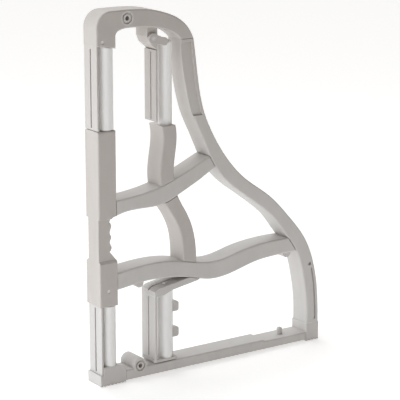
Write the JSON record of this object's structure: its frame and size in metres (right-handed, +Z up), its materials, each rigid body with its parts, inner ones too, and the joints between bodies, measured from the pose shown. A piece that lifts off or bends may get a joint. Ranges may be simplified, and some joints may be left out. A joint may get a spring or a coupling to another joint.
{
  "type": "folding sawhorse",
  "caption": "Flat folding sawhorse: a curved-leg outer frame on toothed feet with a braced inner leg frame that swings out on a vertical hinge, held by a small latch.",
  "frame": {"origin": "centre of the folded frame's footprint, on the ground", "axes": "+Z up; +X along the panel, from the hinge spine to the curved leg; -Y out of the panel's front face"},
  "size_m": [0.581, 0.057, 0.8],
  "materials": {
    "frame_plastic": "structural-foam moulding, faint swirl and fine grain, light scuffs",
    "aged_plastic": "the same moulding, gone a little warmer with age",
    "white_tube": "smooth white tube, soft sheen",
    "bush_plastic": "turned grey nylon",
    "steel": "zinc-plated steel",
    "pad_rubber": "grey non-marking rubber"
  },
  "bodies": {
    "outer_frame": {"top_bar": "aged_plastic", "curved_leg": "frame_plastic", "bottom_bar": "frame_plastic", "left_foot": "frame_plastic", "right_foot": "frame_plastic", "top_ring": "bush_plastic", "low_ring": "bush_plastic", "rest_stud": "frame_plastic", "frame_plugs": "white_tube", "frame_pins": "steel", "upper_hinge_pin": "steel", "lower_hinge_pin": "steel", "upper_spacer": "white_tube", "lower_spacer": "white_tube", "upper_guard": "frame_plastic", "lower_guard": "frame_plastic", "hanger_bracket": "frame_plastic", "upper_rib": "frame_plastic", "latch_pin": "steel", "latch_washer": "steel"},
    "swing_frame": {"hinge_sleeve": "aged_plastic", "upper_bush": "bush_plastic", "lower_bush": "bush_plastic", "upper_brace": "frame_plastic", "lower_brace": "frame_plastic", "brace_pins": "steel", "wavy_leg_upper": "aged_plastic", "wavy_leg_lower": "aged_plastic", "upper_post": "white_tube", "post_cap": "white_tube", "lower_post": "white_tube", "post_studs": "steel", "post_arm": "frame_plastic", "lower_rib": "frame_plastic", "lug_strip": "frame_plastic", "base_plate": "frame_plastic", "base_screws": "steel", "swing_foot": "frame_plastic", "foot_pad": "pad_rubber", "sleeve_plug": "white_tube"},
    "latch": {"latch_hook": "frame_plastic"}
  },
  "joints": [
    {"name": "swing_hinge", "type": "hinge", "parent": "outer_frame", "child": "swing_frame", "pos_m": [-0.262, -0.01, 0.364], "axis": [0, 0, 1], "range_deg": [0, 90]},
    {"name": "latch_pivot", "type": "hinge", "parent": "outer_frame", "child": "latch", "pos_m": [-0.152, -0.02375, 0.734], "axis": [0, 1, 0], "range_deg": [0, 75]}
  ]
}
